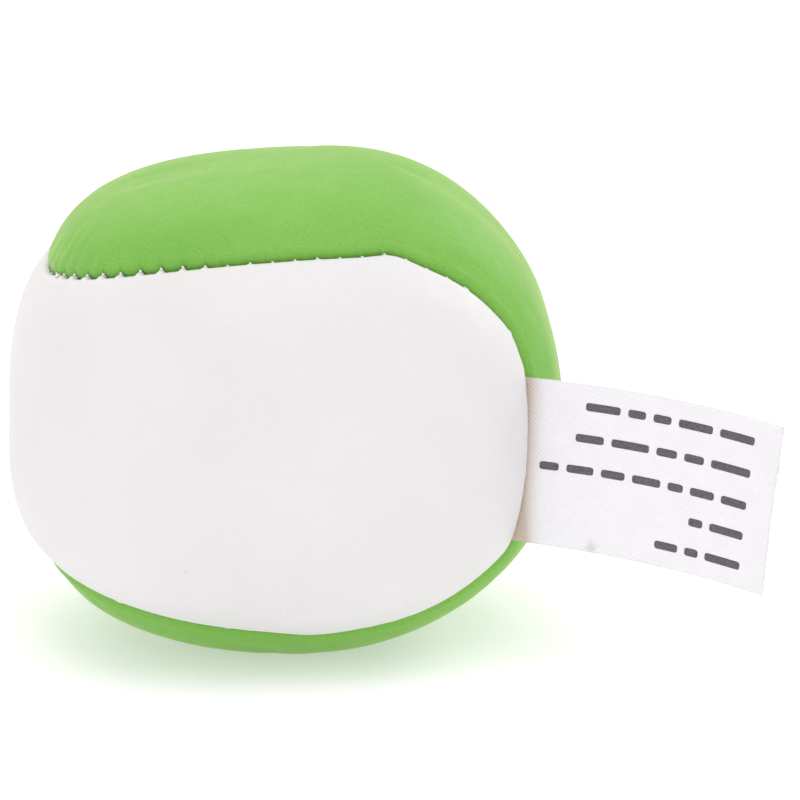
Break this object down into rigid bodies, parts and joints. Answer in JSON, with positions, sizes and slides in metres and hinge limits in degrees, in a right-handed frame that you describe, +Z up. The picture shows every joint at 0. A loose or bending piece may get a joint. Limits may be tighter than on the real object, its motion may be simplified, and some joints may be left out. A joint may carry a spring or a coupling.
{
  "type": "juggling ball",
  "caption": "Soft hand-sized ball for juggling, sewn from a white and a green dog-bone panel of coated fabric, filled with loose pellets, with a tape label in the seam.",
  "frame": {"origin": "centre of the flat patch that the filled ball rests on", "axes": "+Z up, through a lobe of the green panel; +X towards the label; the white panel's lobes face -Y and +Y"},
  "size_m": [0.0848, 0.0631, 0.0554],
  "materials": {
    "white_vinyl": "smooth satin vinyl on a knit backing",
    "green_vinyl": "satin vinyl, the knit shows through faintly",
    "thread": "twisted polyester",
    "label_tape": "fine woven tape",
    "pellets": "natural polyethylene pellets"
  },
  "bodies": {
    "ball": {"white_panel": "white_vinyl", "green_panel": "green_vinyl", "needle_thread": "thread", "bobbin_thread": "thread", "closing_thread": "thread", "label_tail": "label_tape", "pellet_fill": "pellets"},
    "label": {"label_flag": "label_tape"}
  },
  "joints": [
    {"name": "label_bend", "type": "hinge", "parent": "ball", "child": "label", "pos_m": [0.02666, -0.01752, 0.02457], "axis": [0.0508, 0.0616, 0.9968], "range_deg": [-60, 40], "stiffness_Nm_per_rad": 0.0005}
  ]
}
